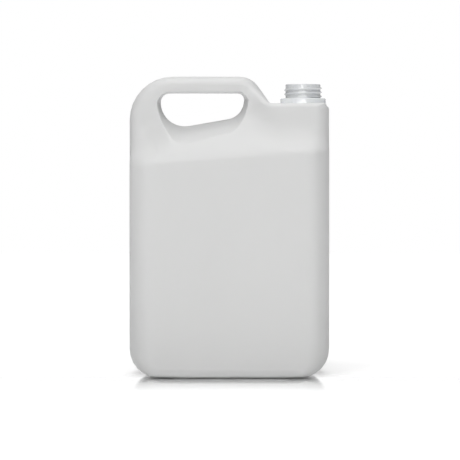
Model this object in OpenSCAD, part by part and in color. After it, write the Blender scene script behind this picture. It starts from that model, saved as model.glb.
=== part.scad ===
// Five-litre plastic jerrycan, blow moulded in one piece: hollow body, hollow
// through-handle over a drafted hand opening, and an offset threaded neck.
// X runs across the broad face, Y through the depth, Z up; the origin is the
// centre of the base, on the surface that the can stands on.

/* [Body] */
// Width of the body across its broad face
body_w = 195; // [188:0.5:204]
// Depth of the body, front face to back face
body_d = 120; // [110:0.5:128]
// Thickness of the moulded wall
wall = 1.2; // [0.9:0.05:1.5]
// Radius of the two bottom corners, seen from the front
bottom_r = 27.5; // [27:0.25:31]
// How far the upright edges round over, from side wall to broad face
side_edge = 25; // [20:0.5:25.5]
// How far the bottom edge rounds over, from base to broad face
base_edge = 10; // [8:0.5:14]
// Height of the push-up in the middle of the base
base_recess = 3; // [2:0.25:4.5]

/* [Shoulder] */
// Height of the flat deck that carries the neck
deck_z = 265.5; // [255:0.5:280]
// How far below the deck the shoulder starts on the handle side
shoulder_drop = 58; // [54:0.5:64]
// How much higher the shoulder starts on the neck side
shoulder_rise = 15.5; // [8:0.5:18]
// Length of the deck, from the side wall to the foot of the handle
deck_l = 58; // [56:0.25:62]
// Depth of the deck, front to back
deck_d = 72; // [68:0.5:76]
// How far the deck's long edges round over
deck_edge = 5; // [4:0.25:6.5]

/* [Handle] */
// Height of the top of the handle above the deck
handle_rise = 26; // [24:0.25:28.5]
// Depth of the handle, front to back
handle_d = 34; // [31:0.5:38]
// Outer radius of the handle's tall corner
handle_r = 42; // [38:0.5:46]
// Outer radius where the handle turns down to the deck
flank_r = 21.5; // [19:0.5:24]
// Steepness of the handle's foot above the deck
flank_angle = 55; // [50:1:60]
// Height of the grip bar above the hand opening
grip_h = 16.3; // [15.5:0.1:18]
// Width of the leg between the side wall and the hand opening
leg_w = 30.2; // [29:0.2:32]
// Width of the handle's foot, between the hand opening and the deck
foot_w = 25; // [22:0.2:28]
// Radius of the opening's upper corner in the tall leg
hand_r_leg = 8.7; // [8:0.1:10]
// Radius of the opening's lower corner in the tall leg
hand_r_low = 23.5; // [22:0.25:25]
// Radius of the opening's lower corner by the neck
hand_r_foot = 19; // [17.5:0.25:20.5]
// Radius of the opening's upper corner by the neck
hand_r_top = 6.4; // [5.5:0.1:7.5]

/* [Neck] */
// Distance from the side wall to the middle of the neck
neck_inset = 25.3; // [25:0.1:28]
// Height of the neck above the deck
neck_h = 18.6; // [17.5:0.1:20]
// Diameter of the neck at the root of its thread
neck_d = 34.2; // [33.6:0.1:35]
// Diameter over the crests of the thread
thread_d = 36.6; // [36:0.1:37.4]
// Rise of the thread in one turn
thread_pitch = 4; // [3.8:0.05:4.3]
// Number of turns of the thread
thread_turns = 2.5; // [2:0.25:2.5]
// Diameter of the bore through the neck
bore_d = 30.4; // [29:0.1:31]
// Diameter of the collar at the foot of the neck
collar_d = 44.6; // [42:0.1:45]
// Height of the collar above the deck
collar_h = 4.8; // [4:0.1:5.5]

/* [Hidden] */

// Seam and side walls
side_crown = 0.9;        // how far the side walls lean in from the parting line
seam_h = 0.3;            // height of the moulding seam
seam_w = 0.5;            // half the width of the moulding seam

// Corners of the outline, seen from the front
notch_r = 5;             // fillet between the handle's foot and the deck
deck_corner_r = 3;       // corner at the deck's end
step_in = 2;             // width of the small step under the deck's end
step_drop = 3.2;         // height of the deck's end above that step
step_r = 2.5;            // corner of the step
deck_turn = [90, 20];    // where the deck's corner starts and ends, in degrees
step_turn = [80, 0];     // where the step's corner starts and ends

// Shoulder
crease_soft = 14;        // softness of the shoulder's lower edge
shoulder_fall = 3.4;     // how fast the shoulder steepens upwards
shoulder_stop = 5;       // how far below the deck the shoulder is upright again
full_fall = 1.8;         // the same under the hand opening, where it is fuller
full_stop = -10;         // the same there
full_in = 8;             // how far from the side wall it starts to fill out
full_w = 36;             // width over which it fills out
fall_reach = 0.5;        // how far below its lower edge its curve goes on
flank_stop = 5;          // how far below the handle's top its foot starts to widen
blend_in = 36.5;         // how far from the deck the handle starts to widen
blend_w = 52;            // width over which the handle widens to the deck
blend_h = 21;            // height over which the handle's foot widens to the deck

// Rounded edges: their reach in the front view and through the depth
handle_edge = 8;         // reach on the handle
handle_edge_y = 12;      // the same, through the depth
flank_edge_y = 9;        // the same, at the foot of the handle
top_edge_right = 15;     // reach on the side wall under the deck
top_edge_left = 11;      // reach on the side wall of the tall leg
edge_round = 1.05;       // depth of a side wall's rounding for its reach
edge_change_h = 38;      // height over which a side wall's rounding changes
edge_change_in = 6;      // how far below the shoulder that change starts
side_least = 0.2;        // least share of the depth that a rounding leaves upright

// Walls of the hand opening: how much they climb for each millimetre outwards
hand_lean = 4.2;         // at its two ends
grip_lean = 9;           // more than that under the grip
floor_lean = 2.3;        // less than that on its floor
hand_swell = 2.5;        // rounding of the wall at the parting plane
rim_soft = 2;            // softness of the rim
rim_w = [0.3, 0.7];      // width of the rim on a steep wall and on a low one

left_x = -body_w / 2;
right_x = body_w / 2;
body_y = body_d / 2;
shoulder_z = deck_z - shoulder_drop;
handle_z = deck_z + handle_rise;
hand_w = body_w - leg_w - foot_w - deck_l;
handle_y = handle_d / 2;
deck_y = deck_d / 2;
neck_x = right_x - neck_inset;
rim_z = deck_z + neck_h;

// Plain helpers
function mix(a, b, t) = a + (b - a) * t;
function clamp01(t) = max(0, min(1, t));
function ease(t) = let (c = clamp01(t)) c * c * (3 - 2 * c);
function soft_min(a, b, k) =
    let (h = max(k - abs(a - b), 0) / k) min(a, b) - h * h * k / 4;
function unit(v) = v / norm(v);
function polar(a) = [cos(a), sin(a)];

// Half depth of the can at a point of the front view, before its edges are
// rounded and its hand opening is made: upright faces, then a shoulder that
// sweeps in to the deck on one side and to the handle on the other, and is
// fuller under the hand opening.
function crease_z(x) = shoulder_z + shoulder_rise * (x - left_x) / body_w;
function deck_share(x) = ease((x - right_x + deck_l + blend_in) / blend_w);
function full_share(x) = ease((x - left_x - full_in) / full_w) * (1 - deck_share(x));
function half_depth(p) =
    let (full = full_share(p.x),
         crest = mix(handle_y, deck_y,
             deck_share(p.x) * ease((handle_z - flank_stop - p.y) / blend_h)),
         low = crease_z(p.x),
         high = deck_z - mix(shoulder_stop, full_stop, full),
         u = max(-fall_reach, min(1, (p.y - low) / (high - low))),
         fall = mix(shoulder_fall, full_fall, full))
    soft_min(body_y, crest + (body_y - crest) * pow(1 - u, fall), crease_soft);

// Hand opening at the parting plane: four tangent arcs and two lines. The
// position along it runs from 0 to 6, clockwise from the grip's left end.
hand_left = left_x + leg_w;
hand_right = hand_left + hand_w;
hand_top = handle_z - grip_h;
hand_c_leg = [hand_left + hand_r_leg, hand_top - hand_r_leg];
hand_c_low = [hand_left + hand_r_low, hand_top - hand_r_leg];
hand_c_foot = [hand_right - hand_r_foot, hand_top - hand_r_top];
hand_c_top = [hand_right - hand_r_top, hand_top - hand_r_top];
hand_floor_run = hand_c_foot - hand_c_low;
hand_floor_a = atan2(hand_floor_run.y, hand_floor_run.x)
    - acos((hand_r_low - hand_r_foot) / norm(hand_floor_run));

function hand_normal_angle(u) =
    u <= 1 ? 90 :
    u <= 2 ? mix(90, 0, u - 1) :
    u <= 3 ? mix(0, hand_floor_a, u - 2) :
    u <= 4 ? hand_floor_a :
    u <= 5 ? mix(hand_floor_a, -180, u - 4) :
    mix(-180, -270, u - 5);
function hand_point(u) =
    let (n = polar(hand_normal_angle(u)))
    u <= 1 ? mix(hand_c_leg + hand_r_leg * n, hand_c_top + hand_r_top * n, u) :
    u <= 2 ? hand_c_top + hand_r_top * n :
    u <= 3 ? hand_c_foot + hand_r_foot * n :
    u <= 4 ? mix(hand_c_foot + hand_r_foot * n, hand_c_low + hand_r_low * n, u - 3) :
    u <= 5 ? hand_c_low + hand_r_low * n :
    hand_c_leg + hand_r_leg * n;

// Height of the opening's drafted wall above the parting plane, at a distance
// from the opening's edge, and the distance at which it meets the broad face.
function hand_wall(d, n) =
    let (lean = hand_lean + grip_lean * max(0, n.y) - floor_lean * pow(max(0, -n.y), 1.5))
    lean * d + hand_swell * sqrt(d);
function rim_distance(h, n, d = 4, turns = 20) =
    turns == 0 ? d :
    let (want = half_depth(h + n * d), have = hand_wall(d, n))
    rim_distance(h, n, max(0.5, d * pow(want / have, 0.7)), turns - 1);

// Outline of the can in the front view, in stretches, clockwise from the left
// end of the grip. Each stretch gives the outline point, the point where the
// rounded edge has reached the broad face, and that rounding's size through
// the depth.
arc_tall = [left_x + handle_r, handle_z - handle_r];
notch = [right_x - deck_l, deck_z];
flank_n = polar(90 - flank_angle);
arc_flank = [
    notch.x - (flank_r + flank_n.y * (handle_z - flank_r - deck_z)) / flank_n.x,
    handle_z - flank_r];
arc_notch = [notch.x + notch_r * (1 - flank_n.y) / flank_n.x, deck_z + notch_r];
arc_deck = [right_x - step_in - deck_corner_r, deck_z - deck_corner_r];
arc_step = [right_x - step_r, deck_z - step_drop - step_r];
arc_right = [right_x - bottom_r, bottom_r];
arc_left = [left_x + bottom_r, bottom_r];
corner_in = [bottom_r - side_edge, bottom_r - base_edge];
deck_inner = [right_x - top_edge_right, deck_z - deck_edge];

function edge_reach(z, x, top) =
    mix(side_edge, top, ease((z - crease_z(x) + edge_change_in) / edge_change_h));
function side_station(x, sign, z, qz, top) =
    let (q = edge_reach(z, x, top)) [[x, z], [x - sign * q, qz], edge_round * q];

// Height on a side wall that is still upright, and one that climbs from there
// to a given height in steps that are closer together round the crease
plain_drop = 10;
climb_power = 1.25;
function plain_z(x) = crease_z(x) - plain_drop;
function climb(x, top, t) = mix(plain_z(x), top, pow(t, climb_power));

// Each entry: stations, of which the hollow keeps every nth, hand opening
// position from and to, outline function
outline = [
    [3, 1, 0, 1, function(t)
        let (c = [mix(arc_tall.x, arc_flank.x, t), handle_z])
        [c, c - [0, handle_edge], handle_edge_y]],
    [4, 1, 1, 1.55, function(t)
        let (n = polar(mix(90, 90 - flank_angle, t)))
        [arc_flank + flank_r * n, arc_flank + (flank_r - handle_edge) * n, handle_edge_y]],
    [2, 1, 1.55, 1.8, function(t)
        let (c = mix(arc_flank + flank_r * flank_n, arc_notch - notch_r * flank_n, t))
        [c, c - mix(handle_edge, deck_edge + 1, t) * flank_n,
         mix(handle_edge_y, flank_edge_y, t)]],
    [3, 1, 1.8, 2.45, function(t)
        let (n = polar(mix(270 - flank_angle, 270, t)))
        [arc_notch + notch_r * n,
         arc_notch + (notch_r + mix(deck_edge + 1, deck_edge, t)) * n,
         mix(flank_edge_y, deck_edge, t)]],
    [4, 2, 2.45, 2.75, function(t)
        [[mix(arc_notch.x, arc_deck.x, t), deck_z],
         [mix(arc_notch.x, deck_inner.x, t), deck_z - deck_edge], deck_edge]],
    [6, 3, 2.75, 2.8, function(t)
        [t < 0.5 ? arc_deck + deck_corner_r * polar(mix(deck_turn[0], deck_turn[1], 2 * t))
             : arc_step + step_r * polar(mix(step_turn[0], step_turn[1], 2 * t - 1)),
         deck_inner - [0, 2 * t], mix(deck_edge, top_edge_right, t)]],
    [10, 1, 2.8, 3.1, function(t)
        let (z = climb(right_x, arc_step.y, 1 - t))
        side_station(right_x, 1, z, climb(right_x, deck_inner.y - 2, 1 - t), top_edge_right)],
    [2, 1, 3.1, 3.3, function(t)
        let (z = mix(plain_z(right_x), bottom_r, t)) side_station(right_x, 1, z, z, top_edge_right)],
    [6, 2, 3.3, 3.5, function(t)
        let (n = polar(mix(0, -90, t)))
        [arc_right + bottom_r * n, arc_right + [n.x * corner_in.x, n.y * corner_in.y],
         mix(edge_round * side_edge, base_edge, t)]],
    [6, 1, 3.5, 4.1, function(t)
        let (x = mix(arc_right.x, arc_left.x, t)) [[x, 0], [x, base_edge], base_edge]],
    [6, 2, 4.1, 4.35, function(t)
        let (n = polar(mix(-90, -180, t)))
        [arc_left + bottom_r * n, arc_left + [n.x * corner_in.x, n.y * corner_in.y],
         mix(base_edge, edge_round * side_edge, t)]],
    [2, 1, 4.35, 4.5, function(t)
        let (z = mix(bottom_r, plain_z(left_x), t)) side_station(left_x, -1, z, z, top_edge_left)],
    [9, 1, 4.5, 5, function(t)
        let (z = climb(left_x, arc_tall.y, t)) side_station(left_x, -1, z, z, top_edge_left)],
    [8, 2, 5, 6, function(t)
        let (n = polar(mix(180, 90, t)), q = mix(top_edge_left, handle_edge, t))
        [arc_tall + handle_r * n, arc_tall + (handle_r - q) * n,
         mix(edge_round * top_edge_left, handle_edge_y, t)]],
];

// Every station round the can: outline point, face point, rounding through the
// depth, opening edge point, opening edge normal, whether the hollow keeps it
stations = [
    for (s = outline, i = [0 : s[0] - 1])
        let (t = i / s[0], u = mix(s[2], s[3], t), at = s[4](t))
        [at[0], at[1], at[2], hand_point(u), polar(hand_normal_angle(u)), i % s[1] == 0]];

// Rows of one station, from the opening's edge over the front face to the
// parting line on the outline
rim_rows = [0, 0.03, 0.14, 0.4, 0.7];    // shares of the way to the rim
rim_gap = 0.5;                           // from the rim to where the face's rows begin
face_rows = 8;                           // rows over the broad face
crease_rows = [3, 0, -3, -6];            // heights of the last of them above the crease
crease_clear = 25;                       // height above the crease where they are even
edge_angles = [90, 72, 54, 36, 18, 0];   // over the rounded edge
wall_rows = [0.8, 0.6];                  // shares of the upright wall's half depth

// How much of the base's push-up a station has: none in the bottom corners
recess_in = 4;
recess_w = 12;
function base_share(c) =
    c.y > 0.01 ? 0 : ease((right_x - bottom_r - recess_in - abs(c.x)) / recess_w);
function wall_in(c, share) =
    let (b = base_share(c))
    mix(side_crown * share * share, share > 0.7 ? 0 : base_recess, b);

// The moulding seam stands proud all round, but not where the can stands on it
function seam_share(c) = max(base_share(c), ease((c.y - 1) / 6));

// How far along a station's path over the broad face a row lies, as a share. A
// path that crosses the crease has rows at fixed heights above and below it,
// and the rest of them above those; a path that stays clear has even rows.
function above_crease(p) = p.y - crease_z(p.x);
function face_share(i, e_from, e_to) =
    let (last = crease_rows[len(crease_rows) - 1],
         free = face_rows - len(crease_rows),
         e = i > free ? crease_rows[i - free - 1] : mix(e_from, 2 * crease_rows[0], i / free),
         crossing = (e_from - e) / (e_from - last),
         reach = min((e_from - last) / max(e_from - e_to, 0.01), face_rows / (face_rows + 1)))
    mix(crossing * (e_to < last ? reach : face_rows / (face_rows + 1)),
        i / (face_rows + 1), ease((e_to - last) / crease_clear));

function section(st) =
    let (c = st[0], q = st[1], ry = st[2], h = st[3], n = st[4],
         rim_d = rim_distance(h, n),
         rim = mix(rim_w[0], rim_w[1], clamp01(rim_d / 8)),
         wall_ds = concat([for (f = rim_rows) f * (rim_d - rim)],
             [rim_d - rim, rim_d, rim_d + rim]),
         g = h + n * (rim_d + rim + rim_gap),
         e_from = above_crease(g),
         e_to = above_crease(q),
         yw = max(half_depth(c) - ry, side_least * half_depth(c)),
         inward = unit(q - c))
    concat(
        [for (d = wall_ds)
            let (p = h + n * d)
            [p.x, -soft_min(hand_wall(d, n), half_depth(p), min(rim_soft, 4 * d + 0.01)), p.y]],
        [for (i = [1 : face_rows])
            let (p = mix(g, q, face_share(i, e_from, e_to)), d = norm(p - h))
            [p.x, -soft_min(hand_wall(d, n), half_depth(p), rim_soft), p.y]],
        [for (a = edge_angles)
            let (p = mix(c + inward * wall_in(c, 1), q, 1 - cos(a)))
            [p.x, -mix(yw, half_depth(p), sin(a)), p.y]],
        [for (f = wall_rows)
            let (p = c + inward * wall_in(c, f)) [p.x, -yw * f, p.y]],
        [for (f = [1, 0])
            let (p = c + inward * (wall_in(c, 0) - (1 - f) * seam_share(c) * seam_h))
            [p.x, -seam_w * f, p.y]]);

function flip(p) = [p.x, -p.y, p.z];
front = [for (st = stations) section(st)];
n_front = len(front[0]);
// A station's closed loop: the front rows, then the same rows mirrored back
loops = [for (s = front)
    concat(s, [for (j = [n_front - 2 : -1 : 1]) flip(s[j])])];

function grid_normal(g, k, j) =
    let (nk = len(g), nj = len(g[0]),
         along = g[(k + 1) % nk][j] - g[(k + nk - 1) % nk][j],
         over = g[k][(j + 1) % nj] - g[k][(j + nj - 1) % nj])
    unit(cross(along, over));

// A closed surface through a grid of stations, each a closed loop. Every patch
// is split along its shorter diagonal.
module loft(grid) {
    nk = len(grid);
    nj = len(grid[0]);
    points = [for (s = grid, p = s) p];
    polyhedron(points, [
        for (k = [0 : nk - 1], j = [0 : nj - 1])
            let (a = k * nj + j, b = k * nj + (j + 1) % nj,
                 c = ((k + 1) % nk) * nj + (j + 1) % nj, d = ((k + 1) % nk) * nj + j,
                 split_ac = norm(points[a] - points[c]) <= norm(points[b] - points[d]) + 1e-4)
            each split_ac ? [[a, b, c], [a, c, d]] : [[a, b, d], [b, c, d]]]);
}

// The outer form of the blown body and handle
module outer_skin() {
    loft(loops);
}

// The hollow inside: the outer form, one wall thickness in. It has all the rows
// of the broad face, half of those on the opening's wall and on the rounded
// edge, and none of the seam's.
n_face = len(rim_rows) + 3 + face_rows;
rim_row = len(rim_rows) + 1;
kept_front = concat(
    [0, 2, 4, rim_row],
    [for (i = [rim_row + 2 : n_face - 1]) i],
    [n_face, n_face + 2, n_face + 4, n_face + 5, n_face + 7, n_front - 1]);
kept = concat(kept_front,
    [for (i = [len(kept_front) - 2 : -1 : 1]) 2 * (n_front - 1) - kept_front[i]]);
hollow_loops = [for (k = [0 : len(loops) - 1]) if (stations[k][5]) loops[k]];
module cavity() {
    loft([for (k = [0 : len(hollow_loops) - 1])
        [for (j = kept) hollow_loops[k][j] - wall * grid_normal(hollow_loops, k, j)]]);
}

// The thread: a ridge that winds up the neck and fades out at both ends
thread_step = 12;
thread_start_z = deck_z + collar_h + 1.1;
thread_foot_w = 2.6;
thread_crest_w = 1.1;
thread_sink = 0.6;
thread_fade = 40;
module thread() {
    steps = round(thread_turns * 360 / thread_step);
    foot = neck_d / 2 - thread_sink;
    rings = [for (i = [0 : steps])
        let (a = i * thread_step - 90, z = thread_start_z + thread_pitch * i * thread_step / 360,
             fade = ease(min(i, steps - i) * thread_step / thread_fade),
             crest = mix(foot + 0.2, thread_d / 2, fade))
        [for (v = [[foot, -thread_foot_w], [foot, thread_foot_w],
                   [crest, thread_crest_w], [crest, -thread_crest_w]])
            [v.x * cos(a), v.x * sin(a), z + v.y / 2]]];
    translate([neck_x, 0, 0])
        polyhedron(
            points = [for (r = rings, p = r) p],
            faces = concat(
                [[0, 1, 2, 3]],
                [[for (j = [3 : -1 : 0]) steps * 4 + j]],
                [for (i = [0 : steps - 1], j = [0 : 3])
                    let (a = i * 4 + j, b = i * 4 + (j + 1) % 4)
                    each [[a, a + 4, b + 4], [a, b + 4, b]]]));
}

module neck() {
    root = neck_d / 2;
    collar = collar_d / 2;
    translate([neck_x, 0, 0])
        rotate_extrude($fn = 96)
            polygon([
                [0, deck_z - 4], [collar, deck_z - 4],
                [collar, deck_z + collar_h - 0.6], [collar - 0.6, deck_z + collar_h],
                [root, deck_z + collar_h],
                [root, rim_z - 0.5], [root - 0.5, rim_z], [0, rim_z]]);
}

module jerrycan() {
    color("whitesmoke")
        difference() {
            union() {
                outer_skin();
                neck();
                thread();
            }
            cavity();
            translate([neck_x, 0, deck_z - 5])
                cylinder(h = neck_h + 6, d = bore_d, $fn = 96);
        }
}

jerrycan();
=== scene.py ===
"""Looks of the plastic jerrycan: its moulded body and neck, the pale floor, the lights and the camera."""

import math

import bmesh
import bpy
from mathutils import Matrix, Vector


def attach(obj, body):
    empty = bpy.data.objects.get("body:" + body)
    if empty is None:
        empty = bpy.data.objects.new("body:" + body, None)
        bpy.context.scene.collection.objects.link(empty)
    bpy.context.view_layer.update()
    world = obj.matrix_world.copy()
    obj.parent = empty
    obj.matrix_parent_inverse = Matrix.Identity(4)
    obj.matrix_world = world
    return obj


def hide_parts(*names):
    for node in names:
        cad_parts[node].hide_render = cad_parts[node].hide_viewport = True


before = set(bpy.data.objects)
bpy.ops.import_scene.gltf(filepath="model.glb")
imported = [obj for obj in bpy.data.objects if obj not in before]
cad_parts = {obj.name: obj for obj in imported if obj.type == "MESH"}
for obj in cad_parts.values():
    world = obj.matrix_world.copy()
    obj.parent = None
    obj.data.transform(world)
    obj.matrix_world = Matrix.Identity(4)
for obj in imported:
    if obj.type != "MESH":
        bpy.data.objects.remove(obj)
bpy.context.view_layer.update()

MM = 0.001

# The body's skin: how near its loose corners lie before they are merged, and the
# angle from which an edge stays sharp
MERGE_WITHIN = 0.001 * MM
SHARP_FROM = 35

# The moulded neck and collar: faces beyond this X and above this Z, and the
# height over which the collar's white gives way to the neck's
NECK_FROM_X = 48 * MM
NECK_FROM_Z = 265.7 * MM
COLLAR_TOP_Z = (270.2 * MM, 270.7 * MM)

# The greys of each plastic, between which a cloudy pattern passes
BODY_GREYS = ((0.25, (0.650, 0.652, 0.652, 1)), (0.75, (0.676, 0.678, 0.678, 1)))
NECK_GREYS = ((0.3, (0.66, 0.675, 0.69, 1)), (0.7, (0.70, 0.715, 0.725, 1)))
COLLAR_GREYS = ((0.3, (0.82, 0.845, 0.86, 1)), (0.7, (0.86, 0.88, 0.895, 1)))

# Light: the room's level for diffuse and for mirrored light, the white behind
# the can, a softbox in front, a weaker one overhead, and a low upright strip
# that only makes highlights
ROOM_LEVEL = 0.1
GLOSS_LEVEL = 0.3
WHITE = 1.0
KEY_PLACE, KEY_POWER = (-0.2, -1.35, 2.15), 39.5
TOP_PLACE, TOP_POWER = (0, 0.4, 2.55), 27
STRIP_PLACE, STRIP_POWER = (-0.28, -2.6, 0.6), 13
SOFTBOX_SIDES = (1.6, 1.6)
STRIP_SIDES = (0.18, 1.3)
LAMP_AIM = (0, 0, 0.15)
CARD_Y, CARD_HALF, CARD_HEIGHT = 3.9, 0.9, 2.5

# Floor: its own white, the painted glow that makes it a lit white sweep and that is
# weaker at the can's foot as painted shade, and the glow that the camera sees instead,
# along Y, so that the floor is evenly white
FLOOR_SIZE = 8.0
FLOOR_WHITE = 0.86
FLOOR_GLOW = 0.6
GLOW_AT_CAN = 0.3
GLOW_FADE = 90 * MM
SEEN_GLOW = ((-0.5, 0.22), (-0.235, 0.25), (0.12, 0.33), (0.35, 0.39),
             (0.95, 0.53), (2.3, 0.77), (4, 0.92))

# The painted contact shadow, darkened into the floor's colour and glow where the
# camera sees it: the half sides of the foot that it starts from, how much sooner it
# ends along X, and the share of light left at each distance
FOOT_HALF = (60 * MM, 48 * MM, 0)
FOOT_STRETCH = (4, 1, 0)
PAINTED_FOOT_SHADOW = ((0, 0.4), (12 * MM, 0.26), (35 * MM, 0.3),
               (47 * MM, 0.45), (58 * MM, 0.7), (70 * MM, 1))

# The sheen that mirrors the can's foot, and the Y where it starts, is full and ends
SHEEN_AT_CAN = 0.95
SHEEN_ROUGHNESS = 0.06
SHEEN_Y = (-225 * MM, -50 * MM, 20 * MM)

# The photograph's frame
PHOTO_SIDE = 460
PHOTO_CENTRE_X = 229.4
PHOTO_BASE_Y = 374.0
PIXEL = 195 * MM / 198.7
CAMERA_DISTANCE = 2.4
CAMERA_HEIGHT = 0.19
CAMERA_CLIP = (0.05, 50)


def grey(level):
    """An even colour of one level."""
    return (level, level, level, 1)


def new_piece(name, mesh):
    """An object that holds a finished mesh, at the origin."""
    piece = bpy.data.objects.new(name, mesh)
    bpy.context.scene.collection.objects.link(piece)
    return piece


def finished_mesh(name, bm):
    """A mesh made of a bmesh, which is freed."""
    mesh = bpy.data.meshes.new(name)
    bm.to_mesh(mesh)
    bm.free()
    return mesh


def node_material(name):
    """A new material with its shader and its node tree."""
    material = bpy.data.materials.new(name)
    material.use_nodes = True
    return material, material.node_tree, material.node_tree.nodes["Principled BSDF"]


def object_place(tree):
    """Object coordinates."""
    return tree.nodes.new("ShaderNodeTexCoord").outputs["Object"]


def object_axes(tree, place):
    """The X, Y and Z of a place."""
    split = tree.nodes.new("ShaderNodeSeparateXYZ")
    tree.links.new(place, split.inputs["Vector"])
    return split.outputs


def object_noise(tree, scale, detail, stretch=(1, 1, 1)):
    """A noise pattern on object coordinates, with the size of its grains set by scale."""
    mapping = tree.nodes.new("ShaderNodeMapping")
    mapping.inputs["Scale"].default_value = stretch
    noise = tree.nodes.new("ShaderNodeTexNoise")
    noise.inputs["Scale"].default_value = scale
    noise.inputs["Detail"].default_value = detail
    tree.links.new(object_place(tree), mapping.inputs["Vector"])
    tree.links.new(mapping.outputs["Vector"], noise.inputs["Vector"])
    return noise.outputs["Fac"]


def ramp(tree, value, stops):
    """A colour ramp over a value: stops are (position, colour) pairs."""
    node = tree.nodes.new("ShaderNodeValToRGB")
    node.color_ramp.elements[0].position, node.color_ramp.elements[0].color = stops[0]
    node.color_ramp.elements[1].position, node.color_ramp.elements[1].color = stops[-1]
    for position, colour in stops[1:-1]:
        node.color_ramp.elements.new(position).color = colour
    tree.links.new(value, node.inputs["Fac"])
    return node.outputs["Color"]


def mix_colours(tree, share, first, second):
    """The first colour at a share of 0, and the second at 1."""
    node = tree.nodes.new("ShaderNodeMix")
    node.data_type = "RGBA"
    tree.links.new(share, node.inputs["Factor"])
    colour_slots = [slot for slot in node.inputs if slot.type == "RGBA"]
    for value, slot in zip((first, second), colour_slots):
        tree.links.new(value, slot)
    return [slot for slot in node.outputs if slot.type == "RGBA"][0]


def bump(tree, shader, height, strength, distance):
    """Fine relief on a shader's surface."""
    node = tree.nodes.new("ShaderNodeBump")
    node.inputs["Strength"].default_value = strength
    node.inputs["Distance"].default_value = distance
    tree.links.new(height, node.inputs["Height"])
    tree.links.new(node.outputs["Normal"], shader.inputs["Normal"])


def vector_math(tree, operation, *values):
    """One vector calculation; a value may be a socket or a constant."""
    node = tree.nodes.new("ShaderNodeVectorMath")
    node.operation = operation
    for slot, value in zip(node.inputs, values):
        if isinstance(value, bpy.types.NodeSocket):
            tree.links.new(value, slot)
        else:
            slot.default_value = value
    return node.outputs["Value" if operation == "LENGTH" else "Vector"]


def math_node(tree, operation, first, second):
    """One calculation with two sockets."""
    node = tree.nodes.new("ShaderNodeMath")
    node.operation = operation
    tree.links.new(first, node.inputs[0])
    tree.links.new(second, node.inputs[1])
    return node.outputs["Value"]


def map_range(tree, value, from_span, to_span):
    """A value taken from one span to another, and held at its ends."""
    node = tree.nodes.new("ShaderNodeMapRange")
    node.inputs["From Min"].default_value, node.inputs["From Max"].default_value = from_span
    node.inputs["To Min"].default_value, node.inputs["To Max"].default_value = to_span
    tree.links.new(value, node.inputs["Value"])
    return node.outputs["Result"]


def stops_along(tree, value, stops):
    """A grey that follows a value through (value, grey) stops."""
    first, last = stops[0][0], stops[-1][0]
    share = map_range(tree, value, (first, last), (0, 1))
    return ramp(tree, share, [((at - first) / (last - first), grey(level)) for at, level in stops])


def cloudy_depth(shader, share, radius):
    """Light that passes a little way into the plastic."""
    shader.inputs["Subsurface Weight"].default_value = share
    shader.inputs["Subsurface Radius"].default_value = radius
    shader.inputs["Subsurface Scale"].default_value = 1.0


def body_plastic():
    """Natural polyethylene as it leaves the mould: pale grey, satin, a little cloudy."""
    material, tree, shader = node_material("natural_polyethylene")
    cloud = object_noise(tree, scale=9.0, detail=3.0, stretch=(1, 1, 0.45))
    tree.links.new(ramp(tree, cloud, BODY_GREYS), shader.inputs["Base Color"])
    patches = object_noise(tree, scale=60.0, detail=4.0)
    satin = ramp(tree, patches, ((0.3, grey(0.50)), (0.7, grey(0.56))))
    tree.links.new(satin, shader.inputs["Roughness"])
    shader.inputs["Specular IOR Level"].default_value = 0.3
    cloudy_depth(shader, share=0.2, radius=(6 * MM, 6 * MM, 6.5 * MM))
    grain = object_noise(tree, scale=900.0, detail=3.0)
    bump(tree, shader, grain, strength=0.05, distance=0.2 * MM)
    return material


def neck_plastic():
    """The same plastic where the mould squeezed it: whiter, denser and glossier."""
    material, tree, shader = node_material("squeezed_polyethylene")
    cloud = object_noise(tree, scale=40.0, detail=2.0)
    above_collar = map_range(tree, object_axes(tree, object_place(tree))["Z"], COLLAR_TOP_Z, (0, 1))
    collar, neck = ramp(tree, cloud, COLLAR_GREYS), ramp(tree, cloud, NECK_GREYS)
    tree.links.new(mix_colours(tree, above_collar, collar, neck), shader.inputs["Base Color"])
    shader.inputs["Roughness"].default_value = 0.2
    shader.inputs["Specular IOR Level"].default_value = 1.0
    cloudy_depth(shader, share=0.25, radius=(3 * MM, 3 * MM, 3.5 * MM))
    ripple = object_noise(tree, scale=300.0, detail=3.0)
    bump(tree, shader, ripple, strength=0.06, distance=0.2 * MM)
    return material


def make_body():
    """The moulded can: the CAD node's own form, with its loose triangles merged and smooth."""
    bm = bmesh.new()
    bm.from_mesh(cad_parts["jerrycan"].data)
    bmesh.ops.remove_doubles(bm, verts=bm.verts, dist=MERGE_WITHIN)
    for face in bm.faces:
        middle = face.calc_center_median()
        face.material_index = int(middle.x > NECK_FROM_X and middle.z > NECK_FROM_Z)
    mesh = finished_mesh("can_body", bm)
    mesh.shade_smooth()
    piece = new_piece("can_body", mesh)
    mesh.set_sharp_from_angle(angle=math.radians(SHARP_FROM))
    mesh.materials.append(body_plastic())
    mesh.materials.append(neck_plastic())
    even = piece.modifiers.new("even_shading", "WEIGHTED_NORMAL")
    even.keep_sharp = True
    return piece


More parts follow.
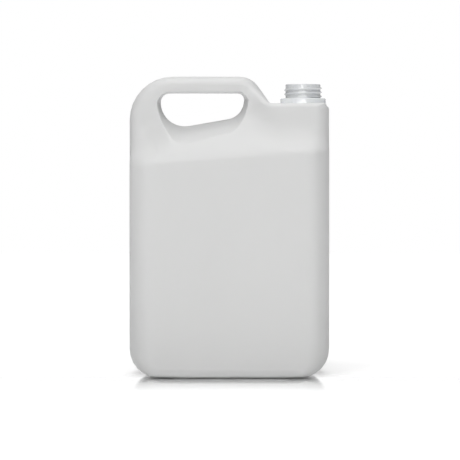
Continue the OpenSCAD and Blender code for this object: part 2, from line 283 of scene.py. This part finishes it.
def floor_glow(tree, shader, place, along, camera_ray):
    """The floor's painted glow and white, with a painted contact shadow round the foot that the camera
    sees.
    """
    outside = vector_math(tree, "SUBTRACT", vector_math(tree, "ABSOLUTE", place), FOOT_HALF)
    outside = vector_math(tree, "MAXIMUM", outside, (0, 0, 0))
    away = vector_math(tree, "LENGTH", outside)
    # Painted shade: the floor's glow, which also lights the can, is weaker near the can's foot
    glow = map_range(tree, away, (0, GLOW_FADE), (GLOW_AT_CAN, FLOOR_GLOW))
    stretched = vector_math(tree, "LENGTH", vector_math(tree, "MULTIPLY", outside, FOOT_STRETCH))
    # Painted shadow: the share of light left round the can's foot, painted into what the camera sees
    shadow = stops_along(tree, stretched, PAINTED_FOOT_SHADOW)
    seen = math_node(tree, "MULTIPLY", stops_along(tree, along, SEEN_GLOW), shadow)
    change = math_node(tree, "MULTIPLY", camera_ray, math_node(tree, "SUBTRACT", seen, glow))
    shader.inputs["Emission Color"].default_value = grey(1)
    tree.links.new(math_node(tree, "ADD", glow, change), shader.inputs["Emission Strength"])
    # The painted shadow also darkens the floor's colour, for camera rays only
    painted_darkening = math_node(tree, "SUBTRACT", math_node(tree, "MULTIPLY", camera_ray, shadow), camera_ray)
    tree.links.new(map_range(tree, painted_darkening, (-1, 0), (0, FLOOR_WHITE)), shader.inputs["Base Color"])


def floor_sheen(tree, shader, along):
    """A mirror image of the can's foot that fades out in front of it and behind it."""
    start, full, end = SHEEN_Y
    sheen = tree.nodes.new("ShaderNodeBsdfGlossy")
    sheen.inputs["Color"].default_value = grey(1)
    sheen.inputs["Roughness"].default_value = SHEEN_ROUGHNESS
    mix = tree.nodes.new("ShaderNodeMixShader")
    fade = stops_along(tree, along, ((start, 0), (full, SHEEN_AT_CAN), (end, 0)))
    tree.links.new(fade, mix.inputs["Fac"])
    tree.links.new(shader.outputs["BSDF"], mix.inputs[1])
    tree.links.new(sheen.outputs["BSDF"], mix.inputs[2])
    tree.links.new(mix.outputs["Shader"], tree.nodes["Material Output"].inputs["Surface"])


def floor_plastic():
    """A white floor with a painted glow, a painted contact shadow round the can's foot and a fading
    sheen.
    """
    material, tree, shader = node_material("floor_white")
    shader.inputs["Roughness"].default_value = 1.0
    shader.inputs["Specular IOR Level"].default_value = 0.0
    place = object_place(tree)
    along = object_axes(tree, place)["Y"]
    camera_ray = tree.nodes.new("ShaderNodeLightPath").outputs["Is Camera Ray"]
    floor_glow(tree, shader, place, along, camera_ray)
    floor_sheen(tree, shader, along)
    return material


def make_floor():
    """A pale plain floor under the can."""
    bm = bmesh.new()
    bmesh.ops.create_grid(bm, x_segments=1, y_segments=1, size=FLOOR_SIZE / 2)
    mesh = finished_mesh("floor", bm)
    mesh.materials.append(floor_plastic())
    new_piece("floor", mesh)


def card_white():
    """A white that gives off its own light."""
    material, tree, shader = node_material("card_white")
    shader.inputs["Base Color"].default_value = grey(0)
    shader.inputs["Specular IOR Level"].default_value = 0.0
    shader.inputs["Emission Color"].default_value = grey(1)
    shader.inputs["Emission Strength"].default_value = WHITE
    return material


def make_card():
    """A plain white card far behind the can, which only the camera and mirrors see."""
    bm = bmesh.new()
    corners = ((-1, 0), (1, 0), (1, 1), (-1, 1))
    bm.faces.new([bm.verts.new((x * CARD_HALF, CARD_Y, z * CARD_HEIGHT)) for x, z in corners])
    mesh = finished_mesh("card", bm)
    mesh.materials.append(card_white())
    card = new_piece("card", mesh)
    card.visible_diffuse = False
    card.visible_shadow = False


def area_lamp(name, place, sides, power):
    """A soft rectangular lamp that faces the can."""
    data = bpy.data.lights.new(name, "AREA")
    data.energy = power
    data.shape = "RECTANGLE"
    data.size, data.size_y = sides
    lamp = bpy.data.objects.new(name, data)
    lamp.location = place
    lamp.rotation_euler = (Vector(LAMP_AIM) - Vector(place)).to_track_quat("-Z", "Y").to_euler()
    bpy.context.scene.collection.objects.link(lamp)
    return lamp


def light_room():
    """A dim even room, which the camera sees as white."""
    world = bpy.data.worlds.new("studio")
    bpy.context.scene.world = world
    world.use_nodes = True
    tree = world.node_tree
    tree.nodes.clear()
    path = tree.nodes.new("ShaderNodeLightPath")
    shader = None
    for level, ray in ((ROOM_LEVEL, None), (GLOSS_LEVEL, "Is Glossy Ray"),
                       (WHITE, "Is Camera Ray"), (WHITE, "Is Transmission Ray")):
        light = tree.nodes.new("ShaderNodeBackground")
        light.inputs["Color"].default_value = grey(1)
        light.inputs["Strength"].default_value = level
        if ray is None:
            shader = light.outputs["Background"]
            continue
        mix = tree.nodes.new("ShaderNodeMixShader")
        tree.links.new(path.outputs[ray], mix.inputs["Fac"])
        tree.links.new(shader, mix.inputs[1])
        tree.links.new(light.outputs["Background"], mix.inputs[2])
        shader = mix.outputs["Shader"]
    tree.links.new(shader, tree.nodes.new("ShaderNodeOutputWorld").inputs["Surface"])


def light_can():
    """Softboxes in front and overhead, and a strip that shows only in gloss."""
    area_lamp("key_softbox", KEY_PLACE, SOFTBOX_SIDES, KEY_POWER)
    area_lamp("top_softbox", TOP_PLACE, SOFTBOX_SIDES, TOP_POWER)
    strip = area_lamp("strip_softbox", STRIP_PLACE, STRIP_SIDES, STRIP_POWER)
    strip.visible_diffuse = False


def make_camera():
    """The photograph's view: level, from straight in front, through a long lens."""
    data = bpy.data.cameras.new("camera")
    camera = bpy.data.objects.new("camera", data)
    bpy.context.scene.collection.objects.link(camera)
    side = PHOTO_SIDE * PIXEL
    middle_x = (PHOTO_SIDE / 2 - PHOTO_CENTRE_X) * PIXEL
    middle_z = (PHOTO_BASE_Y - PHOTO_SIDE / 2) * PIXEL
    data.lens = data.sensor_width * CAMERA_DISTANCE / side
    data.shift_y = (middle_z - CAMERA_HEIGHT) / side
    data.clip_start, data.clip_end = CAMERA_CLIP
    camera.location = (middle_x, -CAMERA_DISTANCE, CAMERA_HEIGHT)
    camera.rotation_euler = (math.radians(90), 0, 0)
    bpy.context.scene.camera = camera


make_camera()
light_room()
light_can()
make_floor()
make_card()
body = make_body()
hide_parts("jerrycan")
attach(body, "root")

bpy.context.scene.view_settings.view_transform = "Standard"
